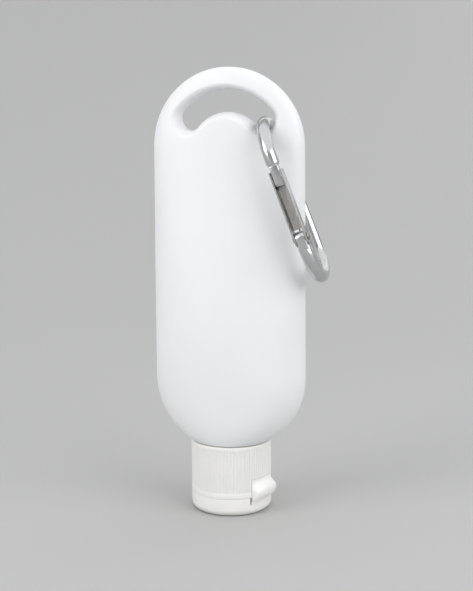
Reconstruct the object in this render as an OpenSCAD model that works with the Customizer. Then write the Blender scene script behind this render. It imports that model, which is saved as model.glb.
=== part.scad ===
// Sunscreen bottle that stands on its flip-top cap, with a carabiner hung in its hanger hole.
// Lengths are millimetres. +Z is up, +X is the bottle's right side and -Y is its front.
// The origin is the centre of the lid's flat end, on which the bottle stands.

/* [Body] */
// Width between the straight sides
body_w = 46; // [44:0.5:49]
// Greatest depth, just above the shoulder
body_d = 26.4; // [24:0.2:27]
// Depth at the crown of the hanger
crown_d = 8.2; // [7.6:0.1:8.8]
// Height from the shoulder face to the crown
body_h = 111.2; // [106:0.2:118]
// Height of the rounded shoulder
shoulder_h = 19.2; // [16:0.1:22]
// Width of the flat shoulder face over the cap
foot_w = 23.6; // [23:0.2:28]
// Depth of the flat shoulder face over the cap
foot_d = 23.4; // [22:0.2:24]
// Rounding between the shoulder and its flat face
foot_r = 0.6; // [0.4:0.1:1.2]
// Wall of the blown shell
wall = 0.9; // [0.7:0.05:1.1]

/* [Hanger hole] */
// Thickness of the arch over the hole
arch_t = 6.5; // [6:0.1:7]
// Height of the hole at its middle
slot_h = 6.5; // [6:0.1:7]
// Distance from the centre of each end lobe to the body's side
lobe_side = 11.7; // [11.4:0.1:12.4]
// Radius of each end lobe
lobe_r = 3.4; // [3.2:0.05:3.6]
// Drop of the lobe centres below the top of the hole
lobe_drop = 8.5; // [8.2:0.1:9.2]
// Width of the rounded rim round the hole, seen from the front
rim_w = 2; // [1.6:0.1:2.2]
// Height of the straight sides that belong to the hanger
web_drop = 5; // [4:0.5:7]

/* [Neck] */
// Diameter over the neck's thread
thread_d = 19.7; // [19.4:0.1:20]
// Diameter of the neck under its thread
neck_d = 17.6; // [17.2:0.1:17.8]
// Bore of the neck
neck_bore_d = 14.4; // [13.6:0.1:14.8]
// Height of the neck below the shoulder face
neck_h = 13.9; // [13:0.1:15]
// Diameter of the bead between the thread and the shoulder
bead_d = 19.4; // [18.8:0.1:19.6]
// Height of the bead
bead_h = 1.2; // [1:0.1:1.6]
// Distance from the bead to the shoulder face
bead_drop = 2.6; // [2.4:0.1:3]
// Pitch of the thread
pitch = 3.175; // [3:0.005:3.3]
// Turns of the neck's thread
neck_turns = 1.25; // [1:0.25:1.5]
// Turns of the cap's thread
cap_turns = 1.25; // [1:0.25:1.5]
// Axial width of a thread at its root
thread_root_w = 1.7; // [1.4:0.1:1.8]
// Axial width of a thread at its crest
thread_crest_w = 0.9; // [0.7:0.1:1.1]
// Distance from the neck's rim to the middle of the thread's first turn
thread_inset = 1.9; // [1.7:0.1:2.2]

/* [Cap] */
// Diameter over the ribs
cap_d = 24.3; // [24:0.1:25]
// Height of the lid, from the floor to the seam
lid_h = 5.5; // [5:0.1:6.5]
// Rounding of the lid's outer edge
lid_edge_r = 2.2; // [1.6:0.1:2.4]
// Thickness of the lid's end
lid_end_t = 1.2; // [1:0.1:1.4]
// Thickness of the lid's side wall
lid_wall = 1.3; // [1.1:0.1:1.4]
// Thickness of the cap's deck
deck_t = 1.4; // [1.2:0.1:1.6]
// Thickness of the liner ring
liner_t = 0.5; // [0.4:0.05:0.7]
// Number of ribs round the cap
rib_count = 90; // [60:2:100]
// Height of a rib
rib_h = 0.15; // [0.15:0.05:0.3]
// Plain band above the seam
seam_band = 1.6; // [1.6:0.1:2.4]
// Plain band under the shoulder
top_band = 1.2; // [1:0.1:2]
// Diameter of the pouring orifice
orifice_d = 3; // [2.8:0.1:3.2]
// Diameter of the spout at the deck
spout_d = 7; // [6:0.1:8]
// Diameter of the spout at its tip
spout_tip_d = 5.4; // [5:0.1:5.8]
// Height of the spout
spout_h = 3; // [2.6:0.1:3.4]
// Height of the collar that the lid closes over
collar_h = 1.2; // [0.8:0.1:1.4]
// Wall of the collar and of the plug ring
ring_wall = 0.8; // [0.7:0.1:1]
// Height of the plug ring inside the neck
plug_h = 2; // [1.6:0.1:2.4]
// Reach of the lid's pin into the orifice
pin_reach = 1.6; // [1.2:0.1:1.8]
// Reach of the thumb tab beyond the cap's side
tab_out = 2; // [1.5:0.1:2.2]
// Height of the ends of the thumb tab's sharp edge above the floor
tab_edge_z = 4.5; // [4.3:0.1:4.9]
// Rise of the sharp edge towards its middle
tab_arch = 0.8; // [0.6:0.1:1.2]
// Height of the thumb tab's top above the floor
tab_top_z = 11; // [10.4:0.1:11.4]
// Drop of the bulge's start towards the ends of the tab
tab_fall = 1.5; // [1:0.1:2]
// Depth of the recess in the cap's side behind the tab
recess = 0.9; // [0.8:0.05:1]
// Angle that the thumb tab spans
tab_span_deg = 57; // [50:1:64]
// Width of the slot at each end of the thumb tab
slit_w = 0.5; // [0.4:0.05:0.7]
// Depth of the slots below the lid's rim
slit_h = 2.2; // [1.8:0.1:2.4]
// Width of the living hinge
hinge_w = 7; // [6:0.2:7.4]
// Thickness of the living hinge
hinge_t = 0.3; // [0.25:0.05:0.35]
// Reach of the living hinge on each side of the seam
hinge_land = 1.5; // [1.2:0.1:1.5]
// Depth of the flats that the living hinge lies on
hinge_flat = 0.7; // [0.65:0.05:0.8]
// Direction of the thumb tab, from +X towards +Y
tab_turn_deg = -15; // [-40:1:40]

/* [Carabiner] */
// Diameter of the bent rod
rod_d = 4; // [3.8:0.05:4.2]
// Height of the carabiner
clip_h = 51.2; // [50:0.1:54]
// Width of the carabiner
clip_w = 23; // [22:0.1:24]
// Bend radius of the rod's centreline between the top and the spine
spine_bend_r = 6.5; // [6:0.1:7.4]
// Bend radius of the rod's centreline between the top and the nose
nose_bend_r = 11.3; // [10:0.1:11.4]
// Distance from the hang point to the spine's centreline
spine_off = 7.9; // [7.6:0.1:8.2]
// Width of the gate's channel
gate_w = 3.8; // [3.6:0.1:4.2]
// Wall of the gate's channel
gate_wall = 0.45; // [0.4:0.05:0.6]
// Reach of the channel's walls in front of the rod's centreline
gate_lip = 2.4; // [2:0.1:2.6]
// Distance from the rivet to the gate's upper end
gate_reach = 20.3; // [19.8:0.1:21]
// Distance from the rivet to the end of the channel's floor
floor_start = 2.6; // [2.5:0.1:3.2]
// Distance from the foot bend's start to the rivet
rivet_rise = 3; // [2.8:0.1:3.6]
// Diameter of the rivet's shank
rivet_d = 1.8; // [1.6:0.1:2]
// Diameter of the rivet's heads
rivet_head_d = 2.6; // [2.4:0.1:3]
// Height of the rivet's heads
rivet_head_h = 0.6; // [0.4:0.05:0.8]
// Thickness of the flattened hinge tongue
tongue_t = 2.8; // [2.6:0.05:2.8]
// Thickness of the nose inside the gate
nose_t = 2.6; // [2.4:0.05:2.7]
// Width of the nose inside the gate
nose_w = 3; // [2.8:0.05:3.1]
// Length of the nose from its shoulder to its end
nose_l = 6; // [5.4:0.1:7]
// Gap between the nose's shoulder and the gate
shoulder_gap = 1.1; // [1:0.1:1.6]
// Height of the chamfer on the nose's shoulder
nose_chamfer = 1; // [0.6:0.1:1.2]
// Diameter of the gate spring's wire
spring_d = 0.5; // [0.4:0.05:0.55]
// Length of the gate spring along the gate
spring_l = 6; // [5:0.5:8]
// Lean of the carabiner away from the upright
clip_lean_deg = 21.6; // [20:0.2:25]
// Turn of the carabiner about its own length
clip_yaw_deg = 6; // [4:0.5:9]
// Distance of the hang point towards the middle from the lobe's centre
hang_in = 0.1; // [0:0.05:0.4]
// Drop of the hang point below the lobe's centre
hang_drop = 1.1; // [0.9:0.05:1.2]

/* [Hidden] */
$fn = 64;

// Clearances and overlaps
seam_gap = 0.1;
liner_gap = 0.05;
skirt_gap = 0.1;
thread_gap = 0.25;
bite = 0.25;
plug_gap = 0.1;
fill_gap = 0.1;
collar_gap = 0.25;
pin_gap = 0.15;
tab_gap = 0.12;
tab_proud = 0.05;
rib_sink = 0.03;
rivet_fit = 0.03;
end_gap = 0.3;
floor_gap = 0.15;
spring_fit = 0.02;
over = 1;

// Levels from the floor
seam_z = lid_h + seam_gap / 2;
deck_z = lid_h + seam_gap;
deck_top = deck_z + deck_t;
rim_z = deck_top + liner_t + 2 * liner_gap;
shoulder_z = rim_z + neck_h;
skirt_top = shoulder_z - skirt_gap;
dome_z = shoulder_z + shoulder_h;
crown_z = shoulder_z + body_h;
arc_z = crown_z - body_w / 2;
split_z = arc_z - web_drop;
hole_z = crown_z - arch_t;
hump_z = hole_z - slot_h;
lobe_z = hole_z - lobe_drop;
lobe_x = body_w / 2 - lobe_side;

// Radii of the neck and cap
cap_r = cap_d / 2;
core_r = cap_r - rib_h;
skirt_r = thread_d / 2 + thread_gap;
neck_r = neck_d / 2;
inner_crest_r = neck_r + thread_gap;
neck_bore_r = neck_bore_d / 2;
plug_r = neck_bore_r - plug_gap;
plug_in_r = plug_r - ring_wall;
lid_in_r = cap_r - lid_wall;
collar_r = lid_in_r - collar_gap;
flat_r = cap_r - hinge_flat;
recess_r = cap_r - recess;
recess_deg = tab_span_deg - 2 * asin((slit_w / 2 - tab_gap) / cap_r);

// Shape of the body: exponents and numbers of steps
dome_power_w = 2.1;
dome_power_d = 5;
taper_in_power = 1.7;
taper_out_power = 2;
section_power_foot = 2;
section_power_mid = 2.3;
section_power_top = 3;
rim_power = 1.4;
web_power = 1.8;
quad_steps = 12;
foot_steps = 3;
dome_steps = 8;
side_steps = 9;
rim_steps = 4;
web_steps = 6;
lobe_low_steps = 7;
hump_steps = 10;
lobe_side_steps = 6;
arch_steps = 16;
straight_steps = 2;
ring_n = 4 * quad_steps;
half_n = 2 * quad_steps;
loop_n = half_n + 2 * lobe_side_steps + arch_steps;
outer_arc_steps = loop_n - half_n - 2 * straight_steps;
level_n = foot_steps + dome_steps + side_steps + 1;
layer_n = rim_steps + web_steps - 1;
throat_base = level_n * ring_n;
layer_base = throat_base + loop_n;
rim_base = layer_base + 2 * layer_n * loop_n;
lobe_start_deg = -10;
thread_steps = 36;
tab_steps = 24;
tab_end_power = 8;
fade_share = 0.12;
fade_rest_share = 0.1;

// Half width and half depth of the body at a level, for a skin drawn in by inset
function dome_fall(z) = max(0, (dome_z - z) / shoulder_h);
function dome_share(z, foot, full, power) =
    pow(1 - pow(dome_fall(z), power) * (1 - pow(foot / full, power)), 1 / power);
function half_w(z, inset) = body_w / 2 * dome_share(z, foot_w, body_w, dome_power_w) - inset;
function rise(z) = min(1, max(0, (z - dome_z) / (crown_z - dome_z)));
function side_d(z) = (crown_d + (body_d - crown_d)
    * pow(1 - pow(rise(z), taper_in_power), taper_out_power)) / 2;
function half_d(z, inset) = side_d(z) * dome_share(z, foot_d, body_d, dome_power_d) - inset;

// Exponent of the rounded section at a level
function section_power(z) =
    z < dome_z ? section_power_mid - (section_power_mid - section_power_foot) * dome_fall(z)
    : section_power_mid + (section_power_top - section_power_mid)
      * pow(min(1, (z - dome_z) / (arc_z - dome_z)), 2);

// Half depth of the skin at a place of the front view
function reach(x, z) = z > arc_z ? norm([x, z - arc_z]) : abs(x);
function face_d(x, z, inset) =
    half_d(z, inset) * pow(1 - pow(min(1, reach(x, z) / half_w(z, inset)), section_power(z)),
                           1 / section_power(z));

// Rings from the shoulder face to the foot of the hanger: a level and a drawn-in edge for each
function levels(inset) =
    let (low = shoulder_z + inset + foot_r)
    concat([for (i = [0 : foot_steps - 1]) let (a = 90 * i / foot_steps)
                [low - foot_r * cos(a), inset + foot_r * (1 - sin(a))]],
           [for (i = [0 : dome_steps - 1]) [low + (dome_z - low) * i / dome_steps, inset]],
           [for (i = [0 : side_steps]) [dome_z + (split_z - dome_z) * i / side_steps, inset]]);
function turn(k) =
    let (q = floor(k / quad_steps), t = k / quad_steps - q)
    90 * (q + (q % 2 == 0 ? pow(t, rim_power) : 1 - pow(1 - t, rim_power)));
function bulge(v, power) = sign(v) * pow(abs(v), 2 / power);
function ring(z, inset) =
    let (w = half_w(z, inset), d = half_d(z, inset), p = section_power(z))
    [for (k = [0 : ring_n - 1]) [w * bulge(cos(turn(k)), p), -d * bulge(sin(turn(k)), p), z]];
function rings(inset) = [for (v = levels(inset)) each ring(v[0], v[1])];

// Hanger hole: the arcs of its arch, hump and lobes touch each other
arch_top = lobe_drop - lobe_r;
arch_c = (arch_top * arch_top - lobe_x * lobe_x) / (2 * arch_top);
arch_cz = lobe_z + arch_c;
arch_r = hole_z - arch_cz;
hump_top = hump_z + lobe_r - lobe_z;
hump_c = (hump_top * hump_top - lobe_x * lobe_x) / (2 * hump_top);
hump_cz = lobe_z + hump_c;
hump_r = hump_z - hump_cz;
arch_end = atan2(-arch_c, lobe_x);
hump_end = atan2(-hump_c, lobe_x);

// One run of places on an arc, each with its normal away from the hole
function run(cx, cz, r, from, to, steps, side) =
    [for (i = [0 : steps - 1]) let (a = from + (to - from) * i / steps)
        [cx + r * cos(a), cz + r * sin(a), side * cos(a), side * sin(a)]];
hole = concat(
    run(lobe_x, lobe_z, lobe_r, lobe_start_deg, hump_end - 180, lobe_low_steps, 1),
    run(0, hump_cz, hump_r, hump_end, 180 - hump_end, hump_steps, -1),
    run(-lobe_x, lobe_z, lobe_r, -hump_end, -180 - lobe_start_deg, lobe_low_steps, 1),
    run(-lobe_x, lobe_z, lobe_r, 180 - lobe_start_deg, 180 - arch_end, lobe_side_steps, 1),
    run(0, arch_cz, arch_r, 180 - arch_end, arch_end, arch_steps, 1),
    run(lobe_x, lobe_z, lobe_r, arch_end, lobe_start_deg, lobe_side_steps, 1));
function hole_at(j, out) = [hole[j][0] + out * hole[j][2], hole[j][1] + out * hole[j][3]];

// Outer edge of the hanger in the front view, one place for each place round the hole
function rim_at(m, inset) =
    let (r = body_w / 2 - inset, rest = loop_n - half_n - m)
    m < straight_steps ? [-r, split_z + web_drop * m / straight_steps]
    : rest < straight_steps ? [r, split_z + web_drop * rest / straight_steps]
    : let (a = 180 - 180 * (m - straight_steps) / outer_arc_steps)
      [r * cos(a), arc_z + r * sin(a)];
function edge_at(j, inset) =
    j > half_n ? rim_at(j - half_n, inset)
    : [half_w(split_z, inset) * bulge(cos(turn(j)), section_power(split_z)), split_z];

// Layers between the hole's throat and that edge, on the front for side -1 and the back for 1
function layer(l, inset, side) =
    [for (j = [0 : loop_n - 1])
        l <= rim_steps
        ? let (a = 90 * l / rim_steps, p = hole_at(j, inset + rim_w * (1 - cos(a))))
          [p[0], side * face_d(p[0], p[1], inset) * sin(a), p[1]]
        : let (s = 1 - pow(1 - (l - rim_steps) / web_steps, web_power),
               p = hole_at(j, inset + rim_w) * (1 - s) + edge_at(j, inset) * s)
          [p[0], side * face_d(p[0], p[1], inset), p[1]]];
function web(inset) = concat(
    layer(0, inset, 1),
    [for (side = [-1, 1]) for (l = [1 : layer_n]) each layer(l, inset, side)],
    [for (m = [1 : loop_n - half_n - 1]) let (p = rim_at(m, inset)) [p[0], 0, p[1]]]);

// Numbers of the places in the list of points, on the front for side 0 and the back for 1
function ring_i(a, k) = a * ring_n + (k % ring_n);
function web_i(side, l, j) =
    let (k = j % loop_n)
    l == 0 ? throat_base + k
    : l <= layer_n ? layer_base + (side * layer_n + l - 1) * loop_n + k
    : k > half_n ? rim_base + k - half_n - 1
    : ring_i(level_n - 1, side == 0 ? k : ring_n - k);
function pair(a, b, c, d) = [[a, b, c], [a, c, d]];
ring_faces = [for (a = [0 : level_n - 2]) for (k = [0 : ring_n - 1])
    each pair(ring_i(a, k), ring_i(a, k + 1), ring_i(a + 1, k + 1), ring_i(a + 1, k))];
foot_face = [for (k = [1 : ring_n]) ring_n - k];
top_face = [for (k = [0 : ring_n - 1]) ring_i(level_n - 1, k)];
web_faces = [for (l = [0 : layer_n]) for (j = [0 : loop_n - 1]) each concat(
    pair(web_i(0, l, j), web_i(0, l + 1, j), web_i(0, l + 1, j + 1), web_i(0, l, j + 1)),
    pair(web_i(1, l, j), web_i(1, l, j + 1), web_i(1, l + 1, j + 1), web_i(1, l + 1, j)))];

module skin(inset) {
    polyhedron(concat(rings(inset), web(inset)), concat([foot_face], ring_faces, web_faces), 10);
}

module shell() {
    resize([body_w, 0, 0]) difference() {
        skin(0);
        skin(wall);
        translate([0, 0, shoulder_z - over]) cylinder(h = wall + 2 * over, r = neck_bore_r - bite);
    }
}

// A helical ridge that stands on radius root_r, reaches tip_r and fades at both ends
module ridge(root_r, tip_r, start_z, turns) {
    steps = thread_steps * turns;
    out = sign(tip_r - root_r);
    sunk = root_r - out * bite;
    points = [for (i = [0 : steps])
        let (a = 360 * i / thread_steps,
             grow = min(1, min(i, steps - i) / steps / fade_share + fade_rest_share),
             r = root_r + (tip_r - root_r) * grow,
             z = start_z + pitch * a / 360,
             foot = thread_root_w / 2,
             top = foot - (thread_root_w - thread_crest_w) / 2 * grow)
        each [[sunk * cos(a), sunk * sin(a), z - foot],
              [r * cos(a), r * sin(a), z - top],
              [r * cos(a), r * sin(a), z + top],
              [sunk * cos(a), sunk * sin(a), z + foot]]];
    sides = [for (i = [0 : steps - 1]) for (k = [0 : 3])
        let (a = 4 * i + k, b = 4 * i + (k + 1) % 4)
        each out > 0 ? pair(a, b, b + 4, a + 4) : pair(a, a + 4, b + 4, b)];
    last = 4 * steps;
    ends = out > 0 ? [[3, 2, 1, 0], [last, last + 1, last + 2, last + 3]]
                   : [[0, 1, 2, 3], [last + 3, last + 2, last + 1, last]];
    polyhedron(points, concat(sides, ends), 10);
}

module collar(z, h, r_out, r_in) {
    translate([0, 0, z]) difference() {
        cylinder(h = h, r = r_out);
        translate([0, 0, -over]) cylinder(h = h + 2 * over, r = r_in);
    }
}

module bottle_body() color("white") {
    difference() {
        union() {
            shell();
            translate([0, 0, rim_z]) cylinder(h = neck_h + wall / 2, r = neck_r);
            translate([0, 0, shoulder_z - bead_drop - bead_h]) cylinder(h = bead_h, d = bead_d);
            ridge(neck_r, thread_d / 2, rim_z + thread_inset, neck_turns);
        }
        translate([0, 0, rim_z - over]) cylinder(h = neck_h + wall + 2 * over, r = neck_bore_r);
    }
}

module lotion_fill() color("ivory") {
    low_z = deck_top + fill_gap;
    mid_z = low_z + plug_h;
    polyhedron(rings(wall + fill_gap), concat([foot_face], ring_faces, [top_face]), 10);
    translate([0, 0, mid_z]) cylinder(h = shoulder_z + wall + over - mid_z, r = neck_bore_r - fill_gap);
    translate([0, 0, low_z]) cylinder(h = plug_h + over, r = plug_in_r - fill_gap);
}

module neck_liner() color("gainsboro") {
    collar(deck_top + liner_gap, liner_t, skirt_r - thread_gap, neck_bore_r + fill_gap);
}

// The recess that the thumb tab lies in, open at the seam
module tab_recess() {
    rotate([0, 0, tab_turn_deg - recess_deg / 2]) rotate_extrude(angle = recess_deg)
        translate([recess_r, deck_z - over]) square([recess + over, tab_top_z + tab_gap - deck_z + over]);
}

// The flat on the hinge side, cut over the height from z to z + h
module hinge_cut(z, h) {
    rotate([0, 0, tab_turn_deg]) translate([-flat_r - cap_d, -cap_r, z]) cube([cap_d, cap_d, h]);
}

module ribbed_skirt() {
    tip_r = cap_r - rib_sink;
    step = 90 / rib_count;
    rib_line = [for (i = [0 : rib_count - 1]) let (a = 360 * i / rib_count)
        each [core_r * [cos(a - step), sin(a - step)],
              tip_r * [cos(a - step / 2), sin(a - step / 2)],
              tip_r * [cos(a + step / 2), sin(a + step / 2)],
              core_r * [cos(a + step), sin(a + step)]]];
    translate([0, 0, deck_z + over]) linear_extrude(skirt_top - deck_z - 2 * over) polygon(rib_line);
    translate([0, 0, deck_z]) cylinder(h = seam_band, r = cap_r);
    translate([0, 0, skirt_top - top_band]) cylinder(h = top_band, r = cap_r);
}

module cap_base() color("whitesmoke") {
    difference() {
        union() {
            difference() {
                ribbed_skirt();
                translate([0, 0, deck_top]) cylinder(h = cap_d, r = skirt_r);
                hinge_cut(deck_z - over, seam_band + over);
                tab_recess();
            }
            translate([0, 0, deck_z - spout_h])
                cylinder(h = spout_h + deck_t / 2, d1 = spout_tip_d, d2 = spout_d);
        }
        translate([0, 0, deck_z - spout_h - over])
            cylinder(h = spout_h + deck_t + 2 * over, d = orifice_d);
    }
    collar(deck_z - collar_h, collar_h + deck_t / 2, collar_r, collar_r - ring_wall);
    collar(deck_top - deck_t / 2, plug_h + deck_t / 2, plug_r, plug_in_r);
    ridge(skirt_r, inner_crest_r, rim_z + thread_inset + pitch / 2, cap_turns);
}

// Outline of the bulge: shares of its drop from the top, each with a share of its reach
tab_shares = [[0, 0], [0.1, 0.1], [0.2, 0.34], [0.32, 0.65], [0.44, 0.91], [0.56, 1], [0.68, 0.98],
              [0.8, 0.91], [0.91, 0.77], [1, 0.62]];

// The tab lies in its recess; its bulge fades at both ends, where its edge is lowest
module thumb_tab() {
    n = len(tab_shares) + 4;
    in_r = recess_r + tab_gap;
    out_r = cap_r + tab_proud;
    root_z = tab_edge_z - tab_gap;
    points = [for (i = [0 : tab_steps])
        let (t = 2 * i / tab_steps - 1,
             reach_out = tab_out * (1 - pow(abs(t), tab_end_power)),
             top = tab_top_z - tab_fall * t * t,
             drop = top - tab_edge_z - tab_arch * (1 - t * t),
             a = tab_span_deg / 2 * t)
        for (p = concat([[in_r, tab_top_z], [out_r, tab_top_z]],
                        [for (v = tab_shares) [out_r + reach_out * v[1], top - drop * v[0] - tab_gap]],
                        [[recess_r + recess / 2, root_z - 2 * tab_gap], [in_r, root_z - 2 * tab_gap]]))
            [p[0] * cos(a), p[0] * sin(a), p[1]]];
    sides = [for (i = [0 : tab_steps - 1]) for (k = [0 : n - 1])
        let (a = n * i + k, b = n * i + (k + 1) % n)
        each pair(a, a + n, b + n, b)];
    last = n * tab_steps;
    ends = [[for (k = [0 : n - 1]) k], [for (k = [0 : n - 1]) last + n - 1 - k]];
    rotate([0, 0, tab_turn_deg]) polyhedron(points, concat(sides, ends), 10);
}

module tab_slits() {
    for (side = [-1, 1])
        rotate([0, 0, tab_turn_deg + side * tab_span_deg / 2])
            translate([recess_r, -slit_w / 2, lid_h - slit_h])
                cube([recess + tab_out + over, slit_w, cap_d]);
}

module lid_cup() {
    r = lid_edge_r;
    inner_r = lid_end_t / 2;
    rotate_extrude() difference() {
        union() {
            square([cap_r - r, lid_h]);
            translate([0, r]) square([cap_r, lid_h - r]);
            translate([cap_r - r, r]) circle(r = r);
        }
        translate([0, lid_end_t]) square([lid_in_r - inner_r, lid_h]);
        translate([0, lid_end_t + inner_r]) square([lid_in_r, lid_h]);
        translate([lid_in_r - inner_r, lid_end_t + inner_r]) circle(r = inner_r);
    }
}

module cap_lid() color("whitesmoke") {
    pin_r = orifice_d / 2 - pin_gap;
    pin_z = deck_z - spout_h;
    difference() {
        union() {
            lid_cup();
            thumb_tab();
        }
        hinge_cut(lid_h - seam_band, seam_band + over);
        tab_slits();
    }
    translate([0, 0, lid_end_t / 2]) cylinder(h = pin_z - lid_end_t / 2, r = pin_r);
    translate([0, 0, pin_z]) cylinder(h = pin_reach, r1 = pin_r, r2 = pin_r - 2 * pin_gap);
}

module hinge_film() color("whitesmoke") {
    rotate([0, 0, tab_turn_deg]) translate([-flat_r - hinge_t, -hinge_w / 2, seam_z - hinge_land])
        cube([hinge_t, hinge_w, 2 * hinge_land]);
}

// Places on the carabiner, from the hang point, with the nose leg towards -Y
rod_r = rod_d / 2;
loop_w = clip_w - rod_d;
loop_h = clip_h - rod_d;
nose_y = spine_off - loop_w;
foot_bend_r = loop_w / 2;
foot_z = foot_bend_r - loop_h;
rivet_z = foot_z + rivet_rise;
gate_end_r = (gate_lip + rod_r) / 2;
gate_top_z = rivet_z + gate_reach;
nose_z = gate_top_z + shoulder_gap;
slot_w = gate_w - 2 * gate_wall;
spring_y = nose_y + rod_r + spring_d / 2 + spring_fit;
spring_z = rivet_z + floor_start;
hang = [lobe_x - hang_in, 0, lobe_z - hang_drop];

module hung() {
    translate(hang) rotate([0, -clip_lean_deg, 0]) rotate([0, 0, clip_yaw_deg]) children();
}

// A quarter bend in the carabiner's plane: it starts at the foot for 0 and goes towards +Y
module bend(y, z, r, start) {
    translate([0, y, z]) rotate([0, 90, 0]) rotate([0, 0, start])
        rotate_extrude(angle = 90) translate([r, 0]) circle(r = rod_r);
}

module leg(y, from, to) {
    translate([0, y, from]) cylinder(h = to - from, r = rod_r);
}

// A cylinder across the carabiner's plane, centred on it
module cross(y, z, r, w) {
    translate([-w / 2, y, z]) rotate([0, 90, 0]) cylinder(h = w, r = r);
}

// A flattened stretch of the nose leg, with a round end
module flat_end(y, from, to, w, t, round_z) {
    translate([-t / 2, y - w / 2, from]) cube([t, w, to - from]);
    cross(y, round_z, w / 2, t);
}

module wire(r) {
    rise_share = 0.7;
    low_y = spring_y - spring_d * 2 * rise_share;
    low_z = spring_z - spring_d * 4 * rise_share;
    lean = atan2(spring_y - low_y, spring_z - low_z);
    translate([0, low_y, low_z]) rotate([-lean, 0, 0])
        cylinder(h = norm([spring_y - low_y, spring_z - low_z]), r = r);
    translate([0, spring_y, spring_z]) sphere(r = r);
    translate([0, spring_y, spring_z]) cylinder(h = spring_l, r = r);
}

module carabiner_frame() color("silver") hung() {
    top_l = loop_w - nose_bend_r - spine_bend_r;
    leg_z = rivet_z - gate_end_r - end_gap;
    inner_y = nose_y + rod_r - gate_wall - floor_gap;
    difference() {
        union() {
            leg(spine_off, foot_z, -spine_bend_r);
            bend(spine_off - spine_bend_r, -spine_bend_r, spine_bend_r, 90);
            translate([0, nose_y + nose_bend_r, 0]) rotate([-90, 0, 0]) cylinder(h = top_l, r = rod_r);
            bend(nose_y + nose_bend_r, -nose_bend_r, nose_bend_r, 180);
            leg(nose_y, nose_z + nose_chamfer, -nose_bend_r);
            translate([0, nose_y, nose_z]) cylinder(h = nose_chamfer, r1 = nose_t / 2, r2 = rod_r);
            flat_end(inner_y - nose_w / 2, nose_z - nose_l + nose_w / 2, nose_z + nose_chamfer / 2,
                     nose_w, nose_t, nose_z - nose_l + nose_w / 2);
            bend(nose_y + foot_bend_r, foot_z, foot_bend_r, 270);
            bend(nose_y + foot_bend_r, foot_z, foot_bend_r, 0);
            leg(nose_y, foot_z, leg_z);
            flat_end(nose_y, leg_z - over, rivet_z, rod_d, tongue_t, rivet_z);
        }
        cross(nose_y, rivet_z, rivet_d / 2 + rivet_fit, rod_d);
        wire(spring_d / 2 + spring_fit);
    }
}

module carabiner_gate() color("lightgray") hung() {
    deep = gate_lip + rod_r;
    mid_y = nose_y + (rod_r - gate_lip) / 2;
    difference() {
        union() {
            translate([-gate_w / 2, nose_y - gate_lip, rivet_z]) cube([gate_w, deep, gate_reach]);
            cross(mid_y, rivet_z, gate_end_r, gate_w);
        }
        translate([-slot_w / 2, nose_y - gate_lip - over, rivet_z - deep])
            cube([slot_w, deep + over - gate_wall, deep + gate_reach + over]);
        translate([-slot_w / 2, nose_y - gate_lip - over, rivet_z - deep])
            cube([slot_w, deep + 2 * over, deep + floor_start]);
        cross(nose_y, rivet_z, rivet_d / 2, gate_w + 2 * over);
    }
}

module gate_rivet() color("gray") hung() {
    head_x = (gate_w + rivet_head_h) / 2;
    cross(nose_y, rivet_z, rivet_d / 2, gate_w + rivet_head_h);
    for (side = [-1, 1])
        translate([side * head_x, 0, 0]) cross(nose_y, rivet_z, rivet_head_d / 2, rivet_head_h);
}

module gate_spring() color("gray") hung() wire(spring_d / 2);

bottle_body();
lotion_fill();
neck_liner();
cap_base();
cap_lid();
hinge_film();
carabiner_frame();
carabiner_gate();
gate_rivet();
gate_spring();
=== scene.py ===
import math

import bmesh
import bpy
import numpy as np
from mathutils import Matrix, Vector


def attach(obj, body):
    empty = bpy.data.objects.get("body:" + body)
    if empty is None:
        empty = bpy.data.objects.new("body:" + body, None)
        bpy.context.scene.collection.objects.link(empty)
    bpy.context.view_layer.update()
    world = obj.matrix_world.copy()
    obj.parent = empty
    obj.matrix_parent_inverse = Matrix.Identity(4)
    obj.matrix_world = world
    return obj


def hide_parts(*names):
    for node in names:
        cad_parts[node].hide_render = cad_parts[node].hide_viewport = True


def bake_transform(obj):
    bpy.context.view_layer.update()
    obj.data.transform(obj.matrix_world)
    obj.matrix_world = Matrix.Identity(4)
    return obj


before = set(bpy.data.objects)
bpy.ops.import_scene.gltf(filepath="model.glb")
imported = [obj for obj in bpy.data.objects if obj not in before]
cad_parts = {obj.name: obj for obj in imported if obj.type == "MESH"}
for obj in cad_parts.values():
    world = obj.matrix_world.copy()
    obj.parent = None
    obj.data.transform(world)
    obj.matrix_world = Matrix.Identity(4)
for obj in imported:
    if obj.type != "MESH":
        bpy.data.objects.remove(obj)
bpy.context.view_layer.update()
print("frame loaded", sorted(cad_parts))

mm = 0.001
# a height in millimetres, too small to see, that keeps two rings of a profile apart
hair = 0.001


def metres(point):
    return tuple(float(c) * mm for c in point)


def addPiece(name, points, faces, edges=()):
    # points are in millimetres; the mesh is in metres, in the frame's own place
    mesh = bpy.data.meshes.new(name)
    mesh.from_pydata([metres(p) for p in points], list(edges), faces)
    mesh.update()
    piece = bpy.data.objects.new(name, mesh)
    bpy.context.scene.collection.objects.link(piece)
    return piece


def cleanMesh(piece, mergeGap=0.0):
    # doubles first, then normals, so that a closed shell keeps its inner wall the right way round
    bm = bmesh.new()
    bm.from_mesh(piece.data)
    if mergeGap:
        bmesh.ops.remove_doubles(bm, verts=bm.verts, dist=mergeGap * mm)
    bmesh.ops.recalc_face_normals(bm, faces=bm.faces)
    bm.to_mesh(piece.data)
    bm.free()
    piece.data.update()


def smoothMesh(piece, angle):
    piece.data.shade_smooth()
    piece.data.set_sharp_from_angle(angle=math.radians(angle))


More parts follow.
